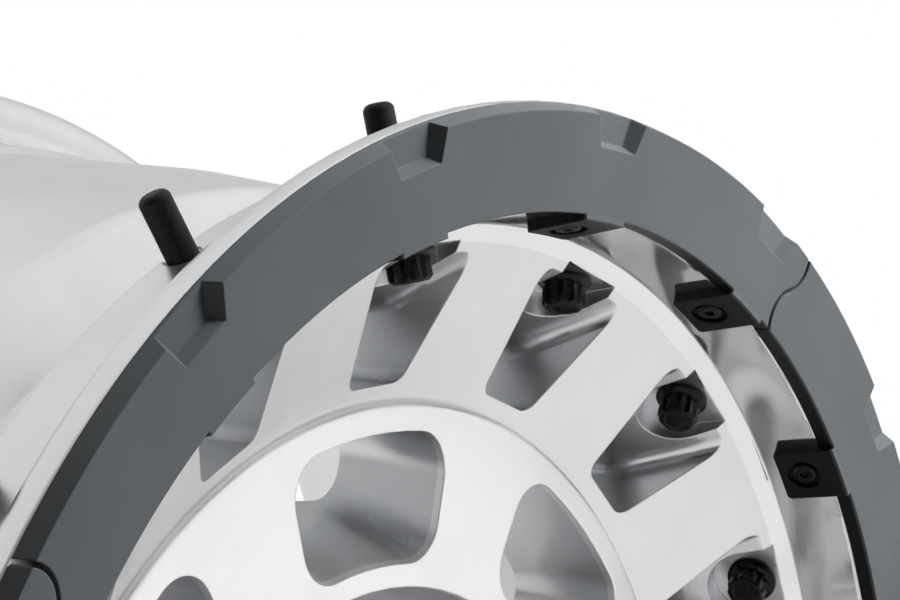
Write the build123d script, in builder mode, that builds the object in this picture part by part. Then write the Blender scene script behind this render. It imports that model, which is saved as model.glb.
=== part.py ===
from build123d import *
import os
from math import atan2, cos, degrees, radians, tan

# Off-road car wheel without a tyre, in millimetres. The wheel spins about Y and its face
# looks towards -Y. The origin is the middle of the hub's mounting face. Depths count
# backwards from the front edge of the rim, and angles clockwise from +Z as seen in front.

# Rim
rim_width = 216.0
bead_seat_radius = 218.3
bead_seat_width = 30.2
bead_seat_drop = 1.4
flange_height = 17.0
flange_width = 13.5
flange_curl = 10.0
flange_heel = 6.0
flange_skin = 6.5
hub_offset = 0.0

# Drop well and barrel
well_depth = 29.3
well_start = 60.0
well_floor = 18.0
well_ramp = 18.0
well_skin = 11.0
barrel_drop = 9.3
barrel_ridge_drop = 5.3
barrel_ridge_depth = 134.0
barrel_heel_drop = 3.7
barrel_heel_run = 4.0
barrel_wall = 7.0
barrel_bend = 6.0
rear_bend_run = 3.0

# Lip and dished face
ring_width = 28.5
lip_setback = 2.7
lip_depth = 22.2
lip_taper = 4.5
face_step = 5.2
face_step_depth = 3.0
hub_disc_radius = 152.3
face_root_depth = 48.0
edge_round = 0.8

# Hub
hub_rise = 1.9
hub_edge_round = 1.8
disc_thickness = 36.0
recess_radius = 101.0
recess_draft = 6.0
recess_round = 8.0
hub_back_radius = 116.0
pad_thickness = 18.0
pad_radius = 92.0
bore_radius = 53.05
lug_circle = 139.7
lug_count = 6
lug_hole_radius = 7.5
lug_seat_radius = 12.0
lug_seat_angle = 60.0

# Windows in the dished face
window_count = 16
window_land = 5.2
window_rim = 2.8
window_inner_width = 23.2
window_side_angle = 14.6
window_corner = 4.5
window_end_corner = 3.5
window_end_depth = 57.0
window_end_bend = 25.0

# D-shaped openings in the hub disc
opening_count = 8
opening_inner_radius = 107.4
opening_outer_radius = 144.2
opening_half_angle = 14.3
opening_corner = 12.0
opening_draft = 19.7

# Bead bolts and their sleeves
bolt_tilt = 13.0
bolt_setback = 4.3
bolt_grip = 22.6
bolt_radius = 3.0
bolt_flange_radius = 7.3
bolt_flange_edge = 1.1
bolt_flange_height = 2.4
bolt_head_flats = 10.0
bolt_head_height = 7.0
spot_radius = 12.5
spot_run = 16.0
sleeve_radius = 4.25
sleeve_height = 17.2
sleeve_end_wall = 3.0
sleeve_round = 2.2
sleeve_sink = 1.2
sleeve_pocket_gap = 1.0
hole_clearance = 0.15
sleeve_clearance = 0.05

# Valve hole, in the window at the bottom
valve_hole_radius = 5.75
valve_depth = 52.5

# Lip guard ring
ring_thickness = 5.4
ring_setback = 0.3
ring_bevel = 1.9
ring_edge_fall = 0.3
ring_bore_step = 0.4
ring_segments = 4
seat_gap = 0.1
joint_angle = 38.2
joint_gap = 1.4
joint_swing = 3.5
notch_length = 8.6
notch_width = 13.8
notch_flare = 19.5
notch_slope = 30.0
notch_web = 0.9

# Ring tabs and their screws
tab_width = 18.7
tab_thickness = 3.0
tab_depth = 17.0
tab_corner = 1.5
screw_depth = 9.5
screw_radius = 2.0
screw_length = 8.5
screw_head_radius = 3.8
screw_head_height = 1.5
screw_socket_flats = 2.5
screw_socket_depth = 1.0
counterbore_radius = 5.4
counterbore_floor = 1.4

# Derived sizes
overall_width = rim_width + 2 * flange_width
mounting_depth = overall_width / 2 + hub_offset
flange_radius = bead_seat_radius + flange_height
bead_toe_radius = bead_seat_radius - bead_seat_drop
bead_toe_depth = flange_width + bead_seat_width
rear_toe_depth = overall_width - bead_toe_depth
well_radius = bead_seat_radius - well_depth
well_end = well_start + well_floor
barrel_radius = bead_seat_radius - barrel_drop
ridge_radius = bead_seat_radius - barrel_ridge_drop
heel_radius = bead_seat_radius - barrel_heel_drop
lip_radius = flange_radius - ring_width
lip_root_radius = lip_radius - lip_taper
lip_tilt = degrees(atan2(lip_taper, lip_depth - lip_setback))
face_edge_radius = lip_root_radius - face_step
face_edge_depth = lip_depth + face_step_depth
face_slope = (face_root_depth - face_edge_depth) / (face_edge_radius - hub_disc_radius)
hub_face_depth = face_root_depth - hub_rise
hub_round = min(hub_edge_round, 0.95 * hub_rise)
disc_back_depth = face_root_depth + disc_thickness
recess_floor_depth = mounting_depth - pad_thickness
recess_floor_radius = recess_radius - (recess_floor_depth - hub_face_depth) * tan(radians(recess_draft))
window_pitch = 360 / window_count
window_inner_radius = hub_disc_radius + window_land
window_outer_radius = face_edge_radius - window_rim
window_end_radius = well_radius - well_skin
ring_radius = flange_radius - ring_setback
ring_bore_radius = lip_radius - ring_bore_step
lock_angles = [window_pitch * k for k in range(window_count)]
opening_angles = [360 / opening_count * k for k in range(opening_count)]
bolt_reach = sleeve_height - sleeve_end_wall - sleeve_clearance
tab_angles = [window_pitch * (k + 0.5) for k in range(window_count)]

os.makedirs("parts", exist_ok=True)


def station(depth):
    """Y of a depth behind the rim's front edge."""
    return depth - mounting_depth


def section_point(radius, depth):
    """Point of a turned section, drawn in the XY plane."""
    return (radius, station(depth))


def cross_plane(depth):
    """Plane across the wheel, facing forwards, with X to the right and Y up."""
    return Plane.XZ.offset(-station(depth))


def outward_plane(angle, radius, depth, tilt):
    """Plane at a point of the rim, facing outwards and leaning back by the tilt."""
    return Plane(Rotation(0, angle, 0) * Pos(0, station(depth), radius) * Rotation(-tilt, 0, 0))


def face_depth(radius):
    """Depth of the dished face at a radius."""
    return face_edge_depth + (face_edge_radius - radius) * face_slope


def band_radius(depth):
    """Radius of the lip's inner band at a depth."""
    return lip_radius - (depth - lip_setback) * tan(radians(lip_tilt))


def bolt_plane(angle):
    """Plane where a bead bolt's axis leaves the bead seat."""
    depth = bead_toe_depth - bolt_setback
    radius = bead_toe_radius + bolt_setback * bead_seat_drop / bead_seat_width
    return outward_plane(angle, radius, depth, bolt_tilt)


def tab_plane(angle):
    """Plane on the lip's inner band, around the axis of a tab's screw."""
    return outward_plane(angle, band_radius(screw_depth), screw_depth, lip_tilt)


def turned(angles):
    """Places that turn a piece made at the top of the wheel about its axis."""
    return Locations(*[Rotation(0, angle, 0) for angle in angles])


# Window shaft at the top: straight sides, closed outwards by the underside of the drop well
shaft_back = well_end + well_ramp
shaft_half = window_inner_width / 2
shaft_spread = shaft_half + (lip_radius - window_inner_radius) * tan(radians(window_side_angle))
underside_depth = face_depth(window_outer_radius)
underside_slope = (window_outer_radius - window_end_radius) / (window_end_depth - underside_depth)
underside_front = window_outer_radius + (underside_depth - lip_setback) * underside_slope

with BuildPart() as window_shaft:
    with BuildSketch(cross_plane(shaft_back)) as shaft_outline:
        Polygon(
            (-shaft_half, window_inner_radius),
            (shaft_half, window_inner_radius),
            (shaft_spread, lip_radius),
            (-shaft_spread, lip_radius),
            align=None,
        )
        fillet(shaft_outline.vertices().group_by(Axis.Y)[0], radius=window_corner)
    extrude(amount=shaft_back - lip_setback)
    with BuildSketch(Plane.XY):
        with BuildLine():
            FilletPolyline(
                section_point(0, lip_setback),
                section_point(underside_front, lip_setback),
                section_point(window_end_radius, window_end_depth),
                section_point(window_end_radius, shaft_back),
                section_point(0, shaft_back),
                radius=[0, 0, window_end_bend, 0, 0],
                close=True,
            )
        make_face()
    revolve(axis=Axis.Y, mode=Mode.INTERSECT)
    end_face = window_shaft.faces().filter_by(GeomType.CONE).sort_by(Axis.Z)[-1]
    end_sides = end_face.edges().group_by(Axis.X)
    fillet(end_sides[0] + end_sides[-1], radius=window_end_corner)


# Opening in the hub disc at the top: a ring sector whose inner wall leans outwards to the back
def opening_outline(depth):
    """Face of the opening at a depth."""
    inner = opening_inner_radius + (depth - hub_face_depth) * tan(radians(opening_draft))
    corner = min(opening_corner, 0.45 * (opening_outer_radius - inner))
    start = 90 - opening_half_angle
    with BuildSketch(cross_plane(depth)) as outline:
        with BuildLine():
            low = CenterArc((0, 0), inner, start, 2 * opening_half_angle)
            high = CenterArc((0, 0), opening_outer_radius, start, 2 * opening_half_angle)
            Line(low @ 0, high @ 0)
            Line(low @ 1, high @ 1)
        make_face()
        fillet(outline.vertices(), radius=corner)
    return outline.sketch


with BuildPart() as hub_opening:
    loft([opening_outline(hub_face_depth), opening_outline(disc_back_depth)], ruled=True)


# Way of a bead bolt at the top: spot face with a run-out to the front, hole and sleeve pocket
with BuildPart() as bolt_way:
    with BuildSketch(bolt_plane(0).offset(-bolt_grip)):
        Circle(spot_radius)
        with Locations((0, -spot_run / 2)):
            Rectangle(2 * spot_radius, spot_run)
    extrude(amount=-bolt_grip)
    with BuildSketch(bolt_plane(0).offset(-bolt_grip)):
        Circle(bolt_radius + hole_clearance)
    extrude(amount=bolt_grip)
    with BuildSketch(bolt_plane(0).offset(-sleeve_sink)):
        Circle(sleeve_radius + sleeve_pocket_gap)
    extrude(amount=sleeve_height)


# Valve hole, square to the underside of the drop well
valve_radius = window_outer_radius - (valve_depth - underside_depth) * underside_slope
valve_tilt = degrees(atan2(underside_slope, 1))
with BuildPart() as valve_way:
    with BuildSketch(outward_plane(180, valve_radius, valve_depth, valve_tilt)):
        Circle(valve_hole_radius)
    extrude(amount=2 * well_skin, both=True)


# Threaded hole for a tab's screw at the first tab
with BuildPart() as screw_way:
    with BuildSketch(tab_plane(0)):
        Circle(screw_radius + hole_clearance)
    extrude(amount=screw_length, both=True)


# Wheel casting: turned rim, lip, dished face and hub, then its openings and holes
ramp_end = well_end + well_ramp
casting_outline = [
    (flange_radius, 0, edge_round),
    (flange_radius, flange_width, flange_curl),
    (bead_seat_radius, flange_width, flange_heel),
    (bead_toe_radius, bead_toe_depth, edge_round),
    (well_radius, well_start, barrel_bend),
    (well_radius, well_end, barrel_bend),
    (barrel_radius, ramp_end, barrel_bend),
    (ridge_radius, barrel_ridge_depth, 0),
    (heel_radius, rear_toe_depth - barrel_heel_run, 0),
    (bead_toe_radius, rear_toe_depth, edge_round),
    (bead_seat_radius, overall_width - flange_width, flange_heel),
    (flange_radius, overall_width - flange_width, flange_curl),
    (flange_radius, overall_width, edge_round),
    (flange_radius - flange_skin, overall_width, edge_round),
    (bead_seat_radius - barrel_wall, overall_width - flange_width + rear_bend_run, barrel_bend),
    (heel_radius - barrel_wall, rear_toe_depth, barrel_bend),
    (ridge_radius - barrel_wall, barrel_ridge_depth, 0),
    (barrel_radius - barrel_wall, ramp_end + barrel_wall, barrel_bend),
    (well_radius - barrel_wall, disc_back_depth, barrel_bend),
    (hub_back_radius, disc_back_depth, barrel_bend),
    (pad_radius, mounting_depth, edge_round),
    (bore_radius, mounting_depth, 0),
    (bore_radius, recess_floor_depth, edge_round),
    (recess_floor_radius, recess_floor_depth, recess_round),
    (recess_radius, hub_face_depth, edge_round),
    (hub_disc_radius, hub_face_depth, hub_round),
    (hub_disc_radius, face_root_depth, 0),
    (face_edge_radius, face_edge_depth, 0),
    (lip_root_radius, lip_depth, edge_round),
    (lip_radius, lip_setback, edge_round),
]

with BuildPart() as wheel_casting:
    with BuildSketch(Plane.XY):
        with BuildLine():
            FilletPolyline(
                [section_point(radius, depth) for radius, depth, corner in casting_outline],
                radius=[corner for radius, depth, corner in casting_outline],
                close=True,
            )
        make_face()
    revolve(axis=Axis.Y)
    with turned(lock_angles):
        add(window_shaft.part, mode=Mode.SUBTRACT)
    with turned(lock_angles):
        add(bolt_way.part, mode=Mode.SUBTRACT)
    with turned(opening_angles):
        add(hub_opening.part, mode=Mode.SUBTRACT)
    with turned(tab_angles):
        add(screw_way.part, mode=Mode.SUBTRACT)
    add(valve_way.part, mode=Mode.SUBTRACT)
    with Locations(cross_plane(recess_floor_depth)):
        with PolarLocations(lug_circle / 2, lug_count, start_angle=90):
            CounterSinkHole(lug_hole_radius, lug_seat_radius, pad_thickness, lug_seat_angle)
wheel_casting.part.label = "wheel_casting"
export_step(wheel_casting.part, "parts/wheel_casting.step")


# Tab at the top, behind the ring: a piece of a cone that lies along the lip's inner band
ring_back = lip_setback - seat_gap
ring_front = ring_back - ring_thickness
with BuildPart() as ring_tab:
    with BuildSketch(Plane.XY):
        Polygon(
            section_point(band_radius(tab_depth) - seat_gap, tab_depth),
            section_point(band_radius(tab_depth) - seat_gap - tab_thickness, tab_depth),
            section_point(band_radius(ring_front) - seat_gap - tab_thickness, ring_front),
            section_point(lip_radius - seat_gap, ring_front),
            section_point(lip_radius - seat_gap, ring_back),
            align=None,
        )
    revolve(axis=Axis.Y)
    tab_tail = (tab_depth - screw_depth) / cos(radians(lip_tilt))
    tab_nose = tab_depth + ring_thickness
    with BuildSketch(tab_plane(0)) as tab_plan:
        with Locations((0, tab_tail)):
            Rectangle(tab_width, tab_nose + tab_tail, align=(Align.CENTER, Align.MAX))
        fillet(tab_plan.vertices().group_by(Axis.Y)[-1], radius=tab_corner)
    extrude(amount=ring_width, both=True, mode=Mode.INTERSECT)
    with BuildSketch(tab_plane(0).offset(-seat_gap - counterbore_floor)):
        Circle(counterbore_radius)
    extrude(amount=-ring_width / 2, mode=Mode.SUBTRACT)
    with BuildSketch(tab_plane(0)):
        Circle(screw_radius + hole_clearance)
    extrude(amount=-ring_width / 2, mode=Mode.SUBTRACT)


# Notch at the top: a shallow tray with sloping walls, open to the ring's edge
notch_floor = -seat_gap - notch_web
notch_inner = ring_radius - notch_length
notch_outer = ring_radius + ring_thickness
notch_half = notch_width / 2
notch_spread = notch_half + (notch_outer - notch_inner) * tan(radians(notch_flare))
with BuildPart() as ring_notch:
    with BuildSketch(cross_plane(notch_floor)):
        Polygon(
            (-notch_half, notch_inner),
            (notch_half, notch_inner),
            (notch_spread, notch_outer),
            (-notch_spread, notch_outer),
            align=None,
        )
    extrude(amount=2 * ring_thickness, taper=-notch_slope)


# Cut at the top between two segments: an S of two arcs, as wide as the joint's gap
ring_middle = (ring_bore_radius + ring_radius) / 2
with BuildPart() as ring_joint:
    with BuildSketch(cross_plane(ring_back)):
        with BuildLine():
            SagittaArc((0, ring_bore_radius - joint_gap), (0, ring_middle), joint_swing)
            SagittaArc((0, ring_middle), (0, ring_radius + joint_gap), -joint_swing)
        trace(line_width=joint_gap)
    extrude(amount=2 * ring_thickness, both=True)


# Lip guard ring, dished like the flange that it lies on, cut into segments
with BuildPart() as guard_ring:
    with BuildSketch(Plane.XY):
        Polygon(
            section_point(ring_bore_radius, ring_front),
            section_point(ring_bore_radius, ring_back),
            section_point(ring_radius, -seat_gap),
            section_point(ring_radius - ring_bevel, -seat_gap - ring_thickness + ring_edge_fall),
            align=None,
        )
    revolve(axis=Axis.Y)
    with turned(tab_angles):
        add(ring_tab.part)
    with turned(tab_angles):
        add(ring_notch.part, mode=Mode.SUBTRACT)
    with turned([joint_angle + 360 / ring_segments * k for k in range(ring_segments)]):
        add(ring_joint.part, mode=Mode.SUBTRACT)


def clock_angle(solid):
    """Angle of a piece's middle about the wheel's axis."""
    middle = solid.center()
    return degrees(atan2(middle.X, middle.Z)) % 360


for number, solid in enumerate(sorted(guard_ring.part.solids(), key=clock_angle), start=1):
    with BuildPart() as ring_segment:
        add(solid)
    ring_segment.part.label = f"ring_segment_{number}"
    export_step(ring_segment.part, f"parts/ring_segment_{number}.step")


# Screws in the tabs: low round heads with a hexagon socket
with BuildPart() as tab_screw:
    with BuildSketch(tab_plane(0).offset(-seat_gap - counterbore_floor)):
        Circle(screw_head_radius)
    extrude(amount=-screw_head_height)
    with BuildSketch(tab_plane(0).offset(-seat_gap - counterbore_floor - screw_head_height)):
        RegularPolygon(screw_socket_flats / 2, 6, major_radius=False)
    extrude(amount=screw_socket_depth, mode=Mode.SUBTRACT)
    with BuildSketch(tab_plane(0).offset(-seat_gap - counterbore_floor)):
        Circle(screw_radius)
    extrude(amount=screw_length)
with BuildPart() as ring_screws:
    with turned(tab_angles):
        add(tab_screw.part)
ring_screws.part.label = "ring_screws"
export_step(ring_screws.part, "parts/ring_screws.step")


# Bead bolts: twelve-point heads with a flange that seats on the spot face
bolt_seat = bolt_plane(0).offset(-bolt_grip)
with BuildPart() as lock_bolt:
    with BuildSketch(bolt_seat):
        Circle(bolt_flange_radius)
    extrude(amount=-bolt_flange_edge)
    with BuildSketch(bolt_seat.offset(-bolt_flange_edge)):
        Circle(bolt_flange_radius)
    with BuildSketch(bolt_seat.offset(-bolt_flange_height)):
        Circle(bolt_head_flats / 2)
    loft()
    with BuildSketch(bolt_seat.offset(-bolt_flange_edge)):
        RegularPolygon(bolt_head_flats / 2, 6, major_radius=False)
        RegularPolygon(bolt_head_flats / 2, 6, major_radius=False, rotation=30)
    extrude(amount=bolt_flange_edge - bolt_flange_height - bolt_head_height)
    with BuildSketch(bolt_seat):
        Circle(bolt_radius)
    extrude(amount=bolt_grip + bolt_reach)
with BuildPart() as lock_bolts:
    with turned(lock_angles):
        add(lock_bolt.part)
lock_bolts.part.label = "lock_bolts"
export_step(lock_bolts.part, "parts/lock_bolts.step")


# Round-ended sleeves on the bolts' outer ends
with BuildPart() as sleeve:
    with BuildSketch(bolt_plane(0).offset(-sleeve_sink)):
        Circle(sleeve_radius)
    extrude(amount=sleeve_sink + sleeve_height)
    fillet(sleeve.edges().sort_by(Axis.Z)[-1], radius=sleeve_round)
    with BuildSketch(bolt_plane(0).offset(-sleeve_sink)):
        Circle(bolt_radius + sleeve_clearance)
    extrude(amount=sleeve_sink + bolt_reach + sleeve_clearance, mode=Mode.SUBTRACT)
for number, angle in enumerate(lock_angles, start=1):
    with BuildPart() as pin_sleeve:
        with turned([angle]):
            add(sleeve.part)
    pin_sleeve.part.label = f"pin_sleeve_{number:02d}"
    export_step(pin_sleeve.part, f"parts/pin_sleeve_{number:02d}.step")
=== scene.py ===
import bpy
import numpy as np
from mathutils import Matrix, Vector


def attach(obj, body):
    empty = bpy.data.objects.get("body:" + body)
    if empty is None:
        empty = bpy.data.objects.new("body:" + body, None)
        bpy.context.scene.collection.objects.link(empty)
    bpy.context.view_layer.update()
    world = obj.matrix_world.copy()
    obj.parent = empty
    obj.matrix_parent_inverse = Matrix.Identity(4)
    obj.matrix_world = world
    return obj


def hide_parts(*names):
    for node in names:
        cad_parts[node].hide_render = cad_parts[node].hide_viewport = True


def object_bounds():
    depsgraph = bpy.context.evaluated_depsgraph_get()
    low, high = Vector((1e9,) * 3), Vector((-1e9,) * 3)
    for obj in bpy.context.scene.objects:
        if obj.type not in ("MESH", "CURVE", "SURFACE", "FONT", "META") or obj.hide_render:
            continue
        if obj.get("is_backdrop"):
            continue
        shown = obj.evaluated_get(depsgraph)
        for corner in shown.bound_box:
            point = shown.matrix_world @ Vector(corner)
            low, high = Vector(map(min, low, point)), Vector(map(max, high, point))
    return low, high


bl_info = {
    "name": "Off-road wheel dressing",
    "version": (1, 0, 0),
    "blender": (4, 5, 0),
    "location": "View3D > Sidebar > Wheel",
    "description": "Finishes, fasteners and studio for a cast off-road wheel",
    "category": "Object",
}

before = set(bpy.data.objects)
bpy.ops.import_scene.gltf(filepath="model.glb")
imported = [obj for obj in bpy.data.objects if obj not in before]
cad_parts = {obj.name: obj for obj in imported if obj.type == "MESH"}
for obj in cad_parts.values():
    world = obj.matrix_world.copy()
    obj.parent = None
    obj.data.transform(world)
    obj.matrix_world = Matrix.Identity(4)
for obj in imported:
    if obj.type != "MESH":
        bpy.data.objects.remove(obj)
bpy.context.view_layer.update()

# Places and sizes shared with the solids, in metres and degrees. A pair is a radius and a depth behind
# the rim's front edge for the face, and a radius and a Y for the seats.
FRONT_EDGE = -0.1215
FACE_EDGE = (0.19705, 0.0252)
FACE_ROOT = (0.1523, 0.048)
LIP_RADIUS = 0.2073
WINDOW_COUNT = 16
BOLT_SEAT = (0.195079, -0.087184)
BOLT_TILT = 13.0
BOLT_SHANK = 0.003
BOLT_END = -0.0367
SCREW_SEAT = (0.203769, -0.112337)
SCREW_TILT = 12.99
SCREW_SHANK = 0.002
SCREW_END = -0.0085

# Meshes: points round a bolt and a screw, and the angle from which an edge is shaded as sharp.
BOLT_POINTS = 96
SCREW_POINTS = 48
SHARP_EDGE = 28

# Finishes: the scale of the lathe's streaks per metre, and the rays that soften an edge.
TURNING_PITCH = 2600.0
EDGE_SAMPLES = 6

# Studio: the floor's size and bend in metres, where it turns white, the directions of the unlit side
# and of what lies behind the wheel, and the camera's place with its sensor's width in millimetres.
FLOOR_GAP = 0.0005
FLOOR_SIDE = 6
FLOOR_FRONT = -5
FLOOR_BEND = 5
FLOOR_BEND_RADIUS = 2.8
FLOOR_END = 9.4
WHITE_SEEN = (0.32, 0.75)
WHITE_MIRRORED = (0.2, 0.5)
UNLIT_WAY = (-0.93, -0.35, -0.12)
BEHIND_WAY = (0.78, 0.58, 0.22)
MIRRORED_LEVEL = 0.92
BEHIND_LEVEL = 0.72
SENSOR_WIDTH = 36
CAMERA_PLACE = ((0.5941, 0.0983, -0.7983, -0.62719),
                (-0.8044, 0.0637, -0.5907, -0.56597),
                (-0.0073, 0.9931, 0.1170, 0.27460),
                (0, 0, 0, 1))


class WheelFinishSettings(bpy.types.PropertyGroup):
    """Colours and gloss of the wheel's finishes, with the painted shade of the ring's tabs and the painted highlight
    of the hub disc.
    """

    cast_colour: bpy.props.FloatVectorProperty(
        name="Cast silver", description="Silver of the rim, barrel and window walls",
        subtype="COLOR", size=3, min=0, max=1, default=(0.74, 0.75, 0.76))
    face_colour: bpy.props.FloatVectorProperty(
        name="Turned silver", description="Silver of the dished face and lip",
        subtype="COLOR", size=3, min=0, max=1, default=(0.82, 0.825, 0.825))
    # Painted highlight: the hub disc's brighter silver stands in for the light its flat face reflects.
    hub_highlight_colour: bpy.props.FloatVectorProperty(
        name="Hub silver", description="Brighter silver of the hub disc",
        subtype="COLOR", size=3, min=0, max=1, default=(0.98, 0.98, 0.98))
    cast_roughness: bpy.props.FloatProperty(
        name="Cast roughness", description="Roughness of the cast walls",
        subtype="FACTOR", min=0, max=1, default=0.30)
    face_roughness: bpy.props.FloatProperty(
        name="Face roughness", description="Roughness of the turned face",
        subtype="FACTOR", min=0, max=1, default=0.34)
    lip_roughness: bpy.props.FloatProperty(
        name="Lip roughness", description="Roughness of the polished band inside the lip",
        subtype="FACTOR", min=0, max=1, default=0.07)
    ring_colour: bpy.props.FloatVectorProperty(
        name="Ring grey", description="Grey of the lip guard ring",
        subtype="COLOR", size=3, min=0, max=1, default=(0.110, 0.1195, 0.126))
    # Painted shade: the ring's tabs are the ring's own grey, and this near-black stands in for the shadow they sit
    # in.
    tab_shade_colour: bpy.props.FloatVectorProperty(
        name="Tab black", description="Dark coat of the ring's tabs",
        subtype="COLOR", size=3, min=0, max=1, default=(0.004, 0.0042, 0.0045))
    steel_colour: bpy.props.FloatVectorProperty(
        name="Black steel", description="Black of the bolts and screws",
        subtype="COLOR", size=3, min=0, max=1, default=(0.0035, 0.0035, 0.004))
    sleeve_colour: bpy.props.FloatVectorProperty(
        name="Sleeve black", description="Black of the sleeves on the bolt ends",
        subtype="COLOR", size=3, min=0, max=1, default=(0.0055, 0.0055, 0.006))


class WheelFastenerSettings(bpy.types.PropertyGroup):
    """Sizes of the bolts and screws."""

    flats: bpy.props.FloatProperty(
        name="Head across flats", description="Twelve-point head of a bead bolt",
        unit="LENGTH", min=0.006, max=0.012, default=0.0106)
    head_height: bpy.props.FloatProperty(
        name="Head height", description="From the bolt's seat to the top of its head",
        unit="LENGTH", min=0.004, max=0.012, default=0.0089)
    flange_radius: bpy.props.FloatProperty(
        name="Flange radius", description="Flange under a bead bolt's head",
        unit="LENGTH", min=0.006, max=0.009, default=0.0078)
    socket_flats: bpy.props.FloatProperty(
        name="Socket across flats", description="Hexagon socket of a tab screw",
        unit="LENGTH", min=0.0015, max=0.004, default=0.0027)
    screw_radius: bpy.props.FloatProperty(
        name="Screw head radius", description="Round head of a tab screw",
        unit="LENGTH", min=0.003, max=0.005, default=0.0038)


class WheelStudioSettings(bpy.types.PropertyGroup):
    """Light and floor of the studio."""

    floor_colour: bpy.props.FloatVectorProperty(
        name="Floor", description="Pale floor under the wheel",
        subtype="COLOR", size=3, min=0, max=1, default=(0.86, 0.86, 0.86))
    sky: bpy.props.FloatProperty(
        name="Sky", description="Strength of the even light from all round",
        min=0, max=2, default=0.05)
    dim_side: bpy.props.FloatProperty(
        name="Dim side", description="What reflections show of the studio's unlit side",
        min=0, max=1, default=0.03)
    key: bpy.props.FloatProperty(
        name="Key", description="Power of the soft light in front of the face; the light above has twice that",
        subtype="POWER", min=0, max=500, default=2.5)
    lens: bpy.props.FloatProperty(
        name="Lens", description="Focal length of the camera on a 36 mm sensor",
        min=20, max=300, default=119.52)


# Meshes worked out as arrays


def turned_mesh(name, rows, places):
    """Closed turned pieces as one mesh. Each row holds a height and the radii round the axis, so a
    vertex is (radius cos t, radius sin t, height); the first and last rows shrink to a pole. Every
    place is a 3 by 4 matrix that puts the piece on the wheel."""
    count = max(np.size(radius) for height, radius in rows)
    angle = np.linspace(0, 2 * np.pi, count, endpoint=False)
    radii = np.array([np.broadcast_to(radius, count) for height, radius in rows])
    heights = np.array([height for height, radius in rows])
    levels = np.broadcast_to(heights[:, None], radii.shape)
    rings = np.stack([radii * np.cos(angle), radii * np.sin(angle), levels], -1)
    middle = rings[1:-1].reshape(-1, 3)
    points = np.vstack([[0, 0, heights[0]], middle, [0, 0, heights[-1]]])
    step = np.arange(count)
    ahead = (step + 1) % count
    base = np.arange(len(rows) - 3)[:, None] * count + 1
    quads = np.stack([base + step, base + ahead, base + count + ahead, base + count + step], -1).reshape(-1, 4)
    last = len(points) - 1
    top = last - count
    caps = np.vstack([np.stack([np.zeros(count, int), 1 + ahead, 1 + step], -1),
                      np.stack([np.full(count, last), top + step, top + ahead], -1)])
    places = np.asarray(places)
    world = np.einsum("pij,nj->pni", places[:, :, :3], points) + places[:, None, :, 3]
    shift = np.arange(len(places))[:, None, None] * len(points)
    faces = (quads + shift).reshape(-1, 4).tolist() + (caps + shift).reshape(-1, 3).tolist()
    mesh = bpy.data.meshes.new(name)
    mesh.from_pydata(world.reshape(-1, 3), [], faces)
    mesh.shade_smooth()
    mesh.set_sharp_from_angle(angle=np.radians(SHARP_EDGE))
    mesh.validate()
    piece = bpy.data.objects.new(name, mesh)
    bpy.context.scene.collection.objects.link(piece)
    return piece


def rim_places(seat, tilt, offset):
    """Places round the rim: at each angle the piece's Z points to the axis, leaning by the tilt, and
    its origin lies at the seat's radius and Y. A turn by t about Y takes (x, y, z) to
    (x cos t + z sin t, y, z cos t - x sin t)."""
    lean = np.radians(tilt)
    top = np.array([[1, 0, 0, 0],
                    [0, -np.cos(lean), -np.sin(lean), seat[1]],
                    [0, np.sin(lean), -np.cos(lean), seat[0]]])
    turn = np.radians(360 / WINDOW_COUNT * (np.arange(WINDOW_COUNT) + offset))
    spin = np.zeros((WINDOW_COUNT, 3, 3))
    spin[:, 0, 0] = np.cos(turn)
    spin[:, 0, 2] = np.sin(turn)
    spin[:, 1, 1] = 1
    spin[:, 2, 0] = -np.sin(turn)
    spin[:, 2, 2] = np.cos(turn)
    return spin @ top


def polygon_radius(count, flats, sides, turn):
    """Radius of a regular polygon round the axis: half the flats over the cosine of the angle from
    the nearest flat's middle."""
    angle = np.linspace(0, 2 * np.pi, count, endpoint=False) + turn
    pitch = 2 * np.pi / sides
    return flats / 2 / np.cos((angle + pitch / 2) % pitch - pitch / 2)


# Materials


def link(tree, source, target):
    """Joins two sockets."""
    tree.links.new(source, target)


def feed(tree, value, socket):
    """Gives a socket its value: another socket, three numbers for a colour, or a number."""
    if isinstance(value, bpy.types.NodeSocket):
        link(tree, value, socket)
    elif socket.type == "RGBA":
        socket.default_value = (*value, 1)
    else:
        socket.default_value = value


def math_node(tree, operation, *values):
    """A Math node on sockets or numbers; gives its result socket."""
    node = tree.nodes.new("ShaderNodeMath")
    node.operation = operation
    for socket, value in zip(node.inputs, values):
        feed(tree, value, socket)
    return node.outputs[0]


def map_range(tree, value, low, high, to_low=0.0, to_high=1.0):
    """Smooth step of a value between two limits."""
    node = tree.nodes.new("ShaderNodeMapRange")
    node.interpolation_type = "SMOOTHSTEP"
    link(tree, value, node.inputs["Value"])
    node.inputs["From Min"].default_value = low
    node.inputs["From Max"].default_value = high
    node.inputs["To Min"].default_value = to_low
    node.inputs["To Max"].default_value = to_high
    return node.outputs["Result"]


def mix_node(tree, data_type, socket_type, blend_type, factor, first, second):
    """A Mix node on sockets or constants; gives its result socket. Its sockets of one type share names
    with those of the other types, so they are told apart by type."""
    node = tree.nodes.new("ShaderNodeMix")
    node.data_type = data_type
    node.blend_type = blend_type
    feed(tree, factor, node.inputs["Factor"])
    for name, value in (("A", first), ("B", second)):
        feed(tree, value, next(s for s in node.inputs if s.name == name and s.type == socket_type))
    return next(s for s in node.outputs if s.type == socket_type)


def mix_colour(tree, factor, first, second, blend_type="MIX"):
    """Mix of two colours by a mask."""
    return mix_node(tree, "RGBA", "RGBA", blend_type, factor, first, second)


def mix_value(tree, factor, first, second):
    """Mix of two values by a mask."""
    return mix_node(tree, "FLOAT", "VALUE", "MIX", factor, first, second)


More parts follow.
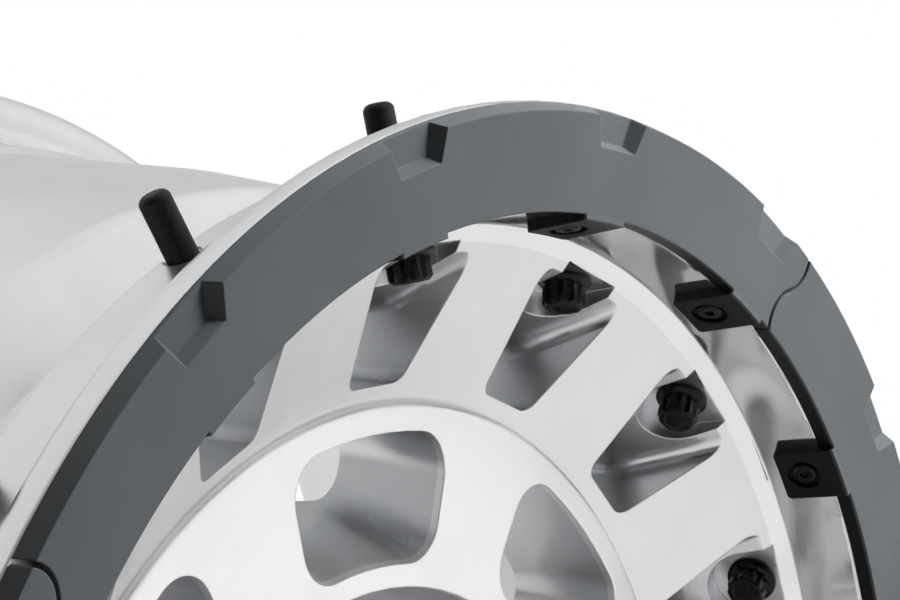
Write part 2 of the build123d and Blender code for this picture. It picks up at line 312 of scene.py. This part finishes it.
def new_group(name, inputs, outputs):
    """A shader node group with float inputs, given with their defaults, and float outputs."""
    tree = bpy.data.node_groups.new(name, "ShaderNodeTree")
    for label, value in inputs:
        socket = tree.interface.new_socket(label, in_out="INPUT", socket_type="NodeSocketFloat")
        socket.default_value = value
    for label in outputs:
        tree.interface.new_socket(label, in_out="OUTPUT", socket_type="NodeSocketFloat")
    return tree, tree.nodes.new("NodeGroupInput"), tree.nodes.new("NodeGroupOutput")


def grain_group():
    """Fine grain and broad mottling on object coordinates, as of a sand-cast or moulded skin."""
    if "wheel_grain" in bpy.data.node_groups:
        return bpy.data.node_groups["wheel_grain"]
    scales = (("Grain Scale", 1800.0), ("Mottle Scale", 45.0))
    tree, given, out = new_group("wheel_grain", scales, ("Grain", "Mottle"))
    place = tree.nodes.new("ShaderNodeTexCoord").outputs["Object"]
    for label, scale, detail in (("Grain", "Grain Scale", 3.0), ("Mottle", "Mottle Scale", 4.0)):
        noise = tree.nodes.new("ShaderNodeTexNoise")
        noise.inputs["Detail"].default_value = detail
        link(tree, place, noise.inputs["Vector"])
        link(tree, given.outputs[scale], noise.inputs["Scale"])
        link(tree, noise.outputs["Fac"], out.inputs[label])
    return tree


def turning_group():
    """Where a point lies on the wheel: its radius and depth behind the rim's front edge, and streaks
    that run round the axis as a lathe leaves them."""
    if "wheel_turning" in bpy.data.node_groups:
        return bpy.data.node_groups["wheel_turning"]
    tree, given, out = new_group("wheel_turning", (("Pitch", TURNING_PITCH),), ("Radius", "Depth", "Streaks"))
    place = tree.nodes.new("ShaderNodeSeparateXYZ")
    link(tree, tree.nodes.new("ShaderNodeTexCoord").outputs["Object"], place.inputs[0])
    x, y, z = place.outputs
    squares = math_node(tree, "ADD", math_node(tree, "MULTIPLY", x, x), math_node(tree, "MULTIPLY", z, z))
    radius = math_node(tree, "SQRT", squares)
    depth = math_node(tree, "SUBTRACT", y, FRONT_EDGE)
    turn = tree.nodes.new("ShaderNodeCombineXYZ")
    link(tree, math_node(tree, "MULTIPLY", radius, given.outputs["Pitch"]), turn.inputs[0])
    link(tree, math_node(tree, "MULTIPLY", depth, given.outputs["Pitch"]), turn.inputs[1])
    link(tree, math_node(tree, "MULTIPLY", math_node(tree, "ARCTAN2", x, z), 6.0), turn.inputs[2])
    noise = tree.nodes.new("ShaderNodeTexNoise")
    noise.inputs["Scale"].default_value = 1.0
    noise.inputs["Detail"].default_value = 2.0
    link(tree, turn.outputs[0], noise.inputs["Vector"])
    link(tree, radius, out.inputs["Radius"])
    link(tree, depth, out.inputs["Depth"])
    link(tree, noise.outputs["Fac"], out.inputs["Streaks"])
    return tree


def new_material(name):
    """A material with its Principled shader; gives the material, its tree and the shader."""
    material = bpy.data.materials.new(name)
    material.use_nodes = True
    tree = material.node_tree
    return material, tree, tree.nodes["Principled BSDF"]


def place_group(tree, group, **values):
    """A node group placed in a material with its own values."""
    node = tree.nodes.new("ShaderNodeGroup")
    node.node_tree = group
    for label, value in values.items():
        node.inputs[label.replace("_", " ")].default_value = value
    return node.outputs


def add_bump(tree, shader, height, distance, strength, edge):
    """Bump from a height socket into the shader's normal, over edges softened by a small radius."""
    bump = tree.nodes.new("ShaderNodeBump")
    soft = tree.nodes.new("ShaderNodeBevel")
    soft.samples = EDGE_SAMPLES
    soft.inputs["Radius"].default_value = edge
    link(tree, soft.outputs["Normal"], bump.inputs["Normal"])
    bump.inputs["Distance"].default_value = distance
    bump.inputs["Strength"].default_value = strength
    link(tree, height, bump.inputs["Height"])
    link(tree, bump.outputs["Normal"], shader.inputs["Normal"])


def silver_material(settings):
    """Cast silver, with the dished face and hub disc turned smooth and the lip's band polished, and the hub disc
    painted a brighter silver as a painted highlight. The face is where the depth lies on the face's cone, and the
    band where the radius and depth lie inside the lip."""
    material, tree, shader = new_material("wheel_silver_painted_hub_highlight")
    where = place_group(tree, turning_group(), Pitch=TURNING_PITCH)
    grain = place_group(tree, grain_group(), Grain_Scale=2400.0, Mottle_Scale=32.0)
    radius, depth, streaks = where["Radius"], where["Depth"], where["Streaks"]
    slope = (FACE_ROOT[1] - FACE_EDGE[1]) / (FACE_EDGE[0] - FACE_ROOT[0])
    cone = math_node(tree, "MULTIPLY_ADD", radius, -slope, FACE_EDGE[1] + FACE_EDGE[0] * slope)
    behind = math_node(tree, "SUBTRACT", depth, math_node(tree, "MINIMUM", cone, FACE_ROOT[1]))
    face = map_range(tree, behind, 0.0004, 0.0010, 1.0, 0.0)
    in_lip = map_range(tree, radius, LIP_RADIUS + 0.0004, LIP_RADIUS + 0.0012, 1.0, 0.0)
    smooth = math_node(tree, "MULTIPLY", face, in_lip)
    in_band = map_range(tree, radius, FACE_EDGE[0] - 0.0001, FACE_EDGE[0] + 0.0002)
    lip = math_node(tree, "MULTIPLY", smooth, in_band)
    tone = mix_colour(tree, smooth, settings.cast_colour, settings.face_colour)
    in_hub = map_range(tree, radius, FACE_ROOT[0] - 0.0016, FACE_ROOT[0] - 0.0004, 1.0, 0.0)
    hub = math_node(tree, "MULTIPLY", smooth, in_hub)
    # Painted highlight: the hub disc gets the brighter hub colour in place of the light its flat face reflects.
    tone = mix_colour(tree, hub, tone, settings.hub_highlight_colour)
    shade = mix_colour(tree, map_range(tree, grain["Mottle"], 0.3, 0.7), (0.93, 0.93, 0.935), (1, 1, 1))
    link(tree, mix_colour(tree, 1.0, tone, shade, "MULTIPLY"), shader.inputs["Base Color"])
    rough = mix_value(tree, smooth, settings.cast_roughness, settings.face_roughness)
    rough = mix_value(tree, lip, rough, settings.lip_roughness)
    spread = map_range(tree, grain["Mottle"], 0.25, 0.75, -0.03, 0.03)
    link(tree, math_node(tree, "ADD", rough, spread), shader.inputs["Roughness"])
    shader.inputs["Metallic"].default_value = 0.92
    height = mix_value(tree, smooth, grain["Grain"], math_node(tree, "MULTIPLY", streaks, 0.35))
    add_bump(tree, shader, height, 0.00005, 0.22, 0.0007)
    return material


def ring_material(settings):
    """Satin grey of the lip guard ring, with a fine even grain and faint mottling, and painted shade: near-black
    where the radius is inside the lip and the depth is behind the ring's face, on the tabs and the ring's inner
    wall."""
    material, tree, shader = new_material("ring_grey_painted_tab_shade")
    grain = place_group(tree, grain_group(), Grain_Scale=3200.0, Mottle_Scale=24.0)
    low = [0.93 * part for part in settings.ring_colour]
    high = [1.07 * part for part in settings.ring_colour]
    where = place_group(tree, turning_group(), Pitch=TURNING_PITCH)
    inside = map_range(tree, where["Radius"], LIP_RADIUS - 0.0006, LIP_RADIUS - 0.0004, 1.0, 0.0)
    tab = math_node(tree, "MULTIPLY", inside, map_range(tree, where["Depth"], -0.0024, -0.0016))
    grey = mix_colour(tree, map_range(tree, grain["Mottle"], 0.3, 0.7), low, high)
    # Painted shade: the tabs and the inner wall take the near-black tab colour in place of their shadow.
    link(tree, mix_colour(tree, tab, grey, settings.tab_shade_colour), shader.inputs["Base Color"])
    link(tree, map_range(tree, grain["Grain"], 0.2, 0.8, 0.40, 0.50), shader.inputs["Roughness"])
    shader.inputs["Specular IOR Level"].default_value = 0.18
    add_bump(tree, shader, grain["Grain"], 0.00004, 0.18, 0.0007)
    return material


def steel_material(settings):
    """Black oxide of the bolts and screws: dark, half glossy, with slight patches of lower gloss."""
    material, tree, shader = new_material("black_steel_finish")
    grain = place_group(tree, grain_group(), Grain_Scale=2800.0, Mottle_Scale=260.0)
    worn = [2.2 * part for part in settings.steel_colour]
    patches = map_range(tree, grain["Mottle"], 0.45, 0.75)
    link(tree, mix_colour(tree, patches, settings.steel_colour, worn), shader.inputs["Base Color"])
    link(tree, map_range(tree, grain["Mottle"], 0.3, 0.7, 0.20, 0.34), shader.inputs["Roughness"])
    shader.inputs["Specular IOR Level"].default_value = 0.2
    add_bump(tree, shader, grain["Grain"], 0.00003, 0.2, 0.0003)
    return material


def sleeve_material(settings):
    """Matt black of the sleeves, with a pebbled skin."""
    material, tree, shader = new_material("sleeve_black_finish")
    grain = place_group(tree, grain_group(), Grain_Scale=900.0, Mottle_Scale=180.0)
    pale = [1.9 * part for part in settings.sleeve_colour]
    patches = map_range(tree, grain["Mottle"], 0.4, 0.7)
    link(tree, mix_colour(tree, patches, settings.sleeve_colour, pale), shader.inputs["Base Color"])
    link(tree, map_range(tree, grain["Grain"], 0.3, 0.7, 0.46, 0.62), shader.inputs["Roughness"])
    shader.inputs["Specular IOR Level"].default_value = 0.28
    add_bump(tree, shader, grain["Grain"], 0.00016, 0.5, 0.0005)
    return material


def dress(names, material):
    """Gives CAD nodes a material in every slot."""
    for name in names:
        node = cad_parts[name]
        node.data.materials.clear()
        node.data.materials.append(material)


# Operators


class WHEEL_OT_casting(bpy.types.Operator):
    """Finish the casting in cast, turned and polished silver, with a painted highlight on the hub disc"""

    bl_idname = "wheel_dressing.casting"
    bl_label = "Finish casting"

    def execute(self, context):
        dress(["wheel_casting"], silver_material(context.scene.wheel_finish))
        return {"FINISHED"}


class WHEEL_OT_ring(bpy.types.Operator):
    """Finish the segments of the lip guard ring in satin grey, with painted shade on the tabs"""

    bl_idname = "wheel_dressing.ring"
    bl_label = "Finish guard ring"

    def execute(self, context):
        names = [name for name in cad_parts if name.startswith("ring_segment")]
        dress(names, ring_material(context.scene.wheel_finish))
        return {"FINISHED"}


class WHEEL_OT_lock_bolts(bpy.types.Operator):
    """Make the bead bolts with chamfered twelve-point heads"""

    bl_idname = "wheel_dressing.lock_bolts"
    bl_label = "Make bead bolts"

    def execute(self, context):
        sizes = context.scene.wheel_fasteners
        flange, top = sizes.flange_radius, sizes.head_height
        points = np.maximum(polygon_radius(BOLT_POINTS, sizes.flats, 6, 0),
                            polygon_radius(BOLT_POINTS, sizes.flats, 6, np.pi / 6))
        crown = sizes.flats / 2
        rows = [(BOLT_END, 0), (BOLT_END, BOLT_SHANK - 0.0006), (BOLT_END + 0.0006, BOLT_SHANK),
                (0, BOLT_SHANK), (0, flange - 0.0003), (0.0002, flange), (0.0009, flange), (0.0012, flange - 0.0002),
                (0.0019, flange - 0.0010), (0.0023, np.minimum(points, flange - 0.0014)),
                (0.0026, points), (top - 0.0012, points), (top - 0.0006, np.minimum(points, crown + 0.0003)),
                (top - 0.0001, np.minimum(points, crown - 0.0002)), (top, crown - 0.0006),
                (top, crown - 0.0013), (top - 0.0003, crown - 0.0017), (top - 0.0004, crown - 0.0030),
                (top - 0.0004, 0)]
        bolts = turned_mesh("bead_bolts", rows, rim_places(BOLT_SEAT, BOLT_TILT, 0))
        bolts.data.materials.append(steel_material(context.scene.wheel_finish))
        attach(bolts, "root")
        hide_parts("lock_bolts")
        return {"FINISHED"}


class WHEEL_OT_tab_screws(bpy.types.Operator):
    """Make the tab screws with round heads and hexagon sockets"""

    bl_idname = "wheel_dressing.tab_screws"
    bl_label = "Make tab screws"

    def execute(self, context):
        sizes = context.scene.wheel_fasteners
        head = sizes.screw_radius
        socket = polygon_radius(SCREW_POINTS, sizes.socket_flats, 6, 0)
        rows = [(SCREW_END, 0), (SCREW_END, SCREW_SHANK - 0.0004), (SCREW_END + 0.0004, SCREW_SHANK),
                (0, SCREW_SHANK), (0, head - 0.0002), (0.0002, head), (0.0007, head), (0.0011, head - 0.0002),
                (0.0014, head - 0.0006), (0.0015, head - 0.0011), (0.0015, socket + 0.0003),
                (0.0014, socket), (0.0004, socket), (0.0003, socket - 0.0004), (0.0001, 0)]
        screws = turned_mesh("tab_screws", rows, rim_places(SCREW_SEAT, SCREW_TILT, 0.5))
        screws.data.materials.append(bpy.data.materials["black_steel_finish"])
        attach(screws, "root")
        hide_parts("ring_screws")
        return {"FINISHED"}


class WHEEL_OT_sleeves(bpy.types.Operator):
    """Finish the sleeves on the bolt ends in pebbled black"""

    bl_idname = "wheel_dressing.sleeves"
    bl_label = "Finish sleeves"

    def execute(self, context):
        names = [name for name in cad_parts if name.startswith("pin_sleeve")]
        dress(names, sleeve_material(context.scene.wheel_finish))
        return {"FINISHED"}


class WHEEL_OT_studio(bpy.types.Operator):
    """Set the pale floor, the soft lights and the camera"""

    bl_idname = "wheel_dressing.studio"
    bl_label = "Set studio"

    def execute(self, context):
        settings = context.scene.wheel_studio
        scene = context.scene
        scene.view_settings.view_transform = "Standard"
        self.floor(scene, settings)
        self.sky(scene, settings)
        self.lamps(scene, settings)
        self.camera(scene, settings)
        return {"FINISHED"}

    def floor(self, scene, settings):
        """A wide floor just under the rim, curving up far behind the wheel: depth runs along s, and the
        height is a quarter circle's once s passes the bend. Away from the wheel it shows plain white."""
        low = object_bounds()[0][2] - FLOOR_GAP
        across = np.linspace(-FLOOR_SIDE, FLOOR_SIDE, 25)
        along = np.linspace(FLOOR_FRONT, FLOOR_END, 61)
        bend = np.clip((along - FLOOR_BEND) / FLOOR_BEND_RADIUS, 0, np.pi / 2)
        run = np.minimum(along, FLOOR_BEND) + FLOOR_BEND_RADIUS * np.sin(bend)
        rise = low + FLOOR_BEND_RADIUS * (1 - np.cos(bend))
        width = len(across)
        points = np.stack([np.tile(across, len(along)), np.repeat(run, width), np.repeat(rise, width)], -1)
        row, col = np.meshgrid(np.arange(len(along) - 1), np.arange(width - 1), indexing="ij")
        corner = (row * width + col).ravel()
        faces = np.stack([corner, corner + 1, corner + 1 + width, corner + width], -1)
        mesh = bpy.data.meshes.new("studio_floor")
        mesh.from_pydata(points, [], faces.tolist())
        mesh.shade_smooth()
        floor = bpy.data.objects.new("studio_floor", mesh)
        scene.collection.objects.link(floor)
        material, tree, shader = new_material("studio_floor_paint")
        shader.inputs["Base Color"].default_value = (*settings.floor_colour, 1)
        shader.inputs["Roughness"].default_value = 0.9
        shader.inputs["Specular IOR Level"].default_value = 0.1
        place = tree.nodes.new("ShaderNodeVectorMath")
        place.operation = "LENGTH"
        link(tree, tree.nodes.new("ShaderNodeTexCoord").outputs["Object"], place.inputs[0])
        away = place.outputs["Value"]
        rays = tree.nodes.new("ShaderNodeLightPath").outputs
        seen = math_node(tree, "MAXIMUM", rays["Is Camera Ray"], rays["Is Transmission Ray"])
        seen = math_node(tree, "MULTIPLY", seen, map_range(tree, away, *WHITE_SEEN))
        mirrored = math_node(tree, "MULTIPLY", rays["Is Glossy Ray"], map_range(tree, away, *WHITE_MIRRORED))
        white = tree.nodes.new("ShaderNodeEmission")
        blend = tree.nodes.new("ShaderNodeMixShader")
        link(tree, math_node(tree, "MAXIMUM", seen, mirrored), blend.inputs[0])
        link(tree, shader.outputs[0], blend.inputs[1])
        link(tree, white.outputs[0], blend.inputs[2])
        link(tree, blend.outputs[0], tree.nodes["Material Output"].inputs["Surface"])
        mesh.materials.append(material)
        floor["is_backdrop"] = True

    def sky(self, scene, settings):
        """White for the camera, a plain even level for the light itself, and for reflections a pale studio
        that is dim on its unlit side and greyer behind the wheel."""
        world = bpy.data.worlds.new("studio_sky")
        world.use_nodes = True
        scene.world = world
        tree = world.node_tree
        back = tree.nodes["Background"]
        rays = tree.nodes.new("ShaderNodeLightPath").outputs
        seen = math_node(tree, "MAXIMUM", rays["Is Camera Ray"], rays["Is Glossy Ray"])
        seen = math_node(tree, "MAXIMUM", seen, rays["Is Transmission Ray"])
        shown = map_range(tree, self.towards(tree, UNLIT_WAY), 0.0, 0.7, MIRRORED_LEVEL, settings.dim_side)
        grey = map_range(tree, self.towards(tree, BEHIND_WAY), 0.80, 0.99, 1.0, BEHIND_LEVEL)
        shown = math_node(tree, "MULTIPLY", shown, grey)
        shown = math_node(tree, "MAXIMUM", shown, rays["Is Camera Ray"])
        link(tree, mix_value(tree, seen, settings.sky, shown), back.inputs["Strength"])
        back.inputs["Color"].default_value = (1, 1, 1, 1)

    def towards(self, tree, direction):
        """Cosine of the angle between the ray and a direction."""
        way = tree.nodes.new("ShaderNodeVectorMath")
        way.operation = "DOT_PRODUCT"
        link(tree, tree.nodes.new("ShaderNodeTexCoord").outputs["Generated"], way.inputs[0])
        way.inputs[1].default_value = direction
        return way.outputs["Value"]

    def lamps(self, scene, settings):
        """Two square lamps that neither the camera nor a reflection shows: a narrow key in front of the face
        at the upper right and a wide one over the barrel. Each has a place, a target, a size, a spread in
        degrees and a power."""
        lamps = (("key_lamp", (0.48, -0.48, 0.60), (0.15, -0.12, 0.20), 0.5, 60, settings.key),
                 ("top_lamp", (-0.5, 0.5, 1.7), (0, 0, 0), 2.4, 180, 2 * settings.key))
        for name, place, target, size, spread, power in lamps:
            data = bpy.data.lights.new(name, "AREA")
            data.shape = "SQUARE"
            data.size = size
            data.spread = np.radians(spread)
            data.energy = power
            lamp = bpy.data.objects.new(name, data)
            lamp.matrix_world = self.aimed(place, target)
            lamp.visible_camera = False
            lamp.visible_glossy = False
            scene.collection.objects.link(lamp)

    def aimed(self, place, target):
        """A matrix at a place whose -Z looks at a target."""
        back = np.subtract(place, target)
        back /= np.linalg.norm(back)
        right = np.cross((0, 0, 1), back)
        right /= np.linalg.norm(right)
        up = np.cross(back, right)
        matrix = np.eye(4)
        matrix[:3, 0], matrix[:3, 1], matrix[:3, 2], matrix[:3, 3] = right, up, back, place
        return Matrix(matrix.tolist())

    def camera(self, scene, settings):
        """A long lens close above the lip, looking across the face."""
        data = bpy.data.cameras.new("studio_camera")
        data.sensor_fit = "HORIZONTAL"
        data.sensor_width = SENSOR_WIDTH
        data.lens = settings.lens
        camera = bpy.data.objects.new("studio_camera", data)
        camera.matrix_world = Matrix(CAMERA_PLACE)
        scene.collection.objects.link(camera)
        scene.camera = camera


class WHEEL_PT_panel(bpy.types.Panel):
    """Wheel dressing steps and sizes"""

    bl_idname = "WHEEL_PT_panel"
    bl_label = "Wheel dressing"
    bl_space_type = "VIEW_3D"
    bl_region_type = "UI"
    bl_category = "Wheel"

    def draw(self, context):
        layout = self.layout
        for operator in STEPS:
            layout.operator(operator.bl_idname)
        for group in (context.scene.wheel_finish, context.scene.wheel_fasteners, context.scene.wheel_studio):
            box = layout.box()
            for name in group.__annotations__:
                box.prop(group, name)


STEPS = (WHEEL_OT_casting, WHEEL_OT_ring, WHEEL_OT_lock_bolts, WHEEL_OT_tab_screws, WHEEL_OT_sleeves,
         WHEEL_OT_studio)
GROUPS = (("wheel_finish", WheelFinishSettings), ("wheel_fasteners", WheelFastenerSettings),
          ("wheel_studio", WheelStudioSettings))


def register():
    """Registers the settings, steps and panel."""
    for name, group in GROUPS:
        bpy.utils.register_class(group)
        setattr(bpy.types.Scene, name, bpy.props.PointerProperty(type=group))
    for step in STEPS:
        bpy.utils.register_class(step)
    bpy.utils.register_class(WHEEL_PT_panel)


def unregister():
    """Removes what register added."""
    bpy.utils.unregister_class(WHEEL_PT_panel)
    for step in reversed(STEPS):
        bpy.utils.unregister_class(step)
    for name, group in reversed(GROUPS):
        delattr(bpy.types.Scene, name)
        bpy.utils.unregister_class(group)


def main():
    register()
    bpy.ops.wheel_dressing.casting()
    bpy.ops.wheel_dressing.ring()
    bpy.ops.wheel_dressing.lock_bolts()
    bpy.ops.wheel_dressing.tab_screws()
    bpy.ops.wheel_dressing.sleeves()
    bpy.ops.wheel_dressing.studio()


if __name__ == "__main__":
    main()
